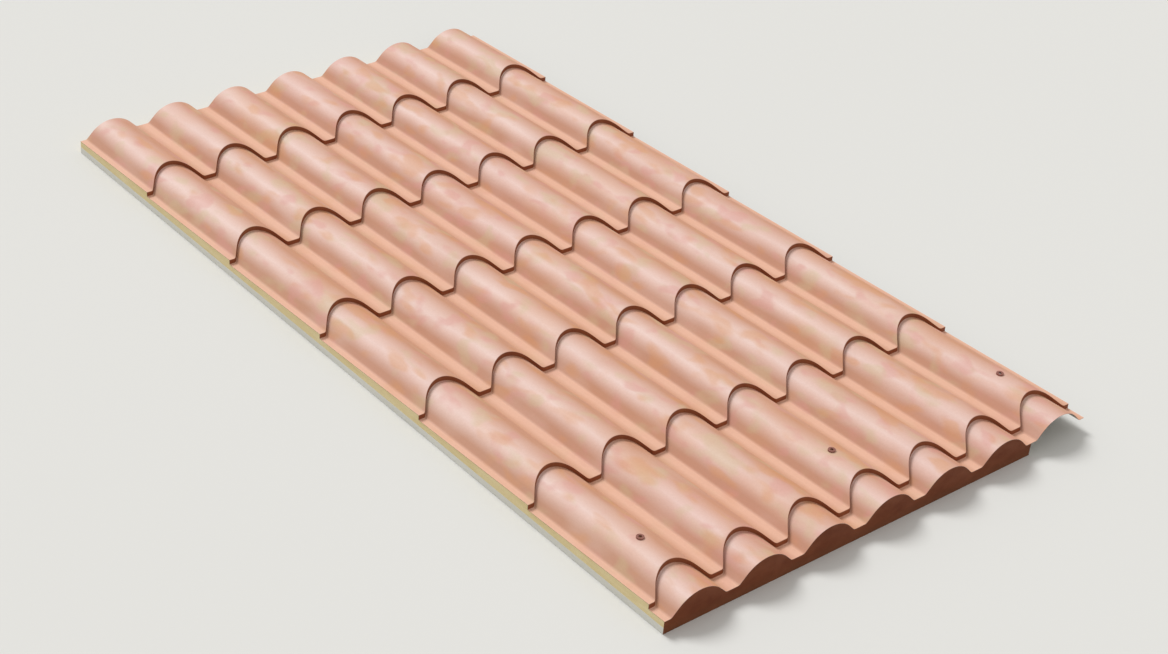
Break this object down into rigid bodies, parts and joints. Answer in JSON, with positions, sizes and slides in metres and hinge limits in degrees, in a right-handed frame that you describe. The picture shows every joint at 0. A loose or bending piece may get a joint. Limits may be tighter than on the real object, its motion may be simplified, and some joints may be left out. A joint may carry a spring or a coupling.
{
  "type": "insulated tile-effect roof panel",
  "caption": "Insulated metal roof panel pressed as stepped rounded tiles, with foam core, flat liner, closed eaves end and one hollow side-lap rib.",
  "frame": {"origin": "middle of the panel's bounding box, at the underside of the liner", "axes": "+X across the ribs towards the hollow lap rib, +Y up the slope, +Z out of the roof"},
  "size_m": [1.1666, 2.1, 0.0752],
  "materials": {
    "tile_print_steel": "matt aged-terracotta print",
    "foam": "cut rigid foam",
    "liner_steel": "satin off-white coating",
    "brown_steel": "matt brown coating",
    "washer_rubber": "dark rubber"
  },
  "bodies": {
    "root": {"outer_skin": "tile_print_steel", "foam_core": "foam", "inner_liner": "liner_steel", "eaves_closure": "brown_steel", "sealing_washers": "washer_rubber"}
  },
  "joints": []
}
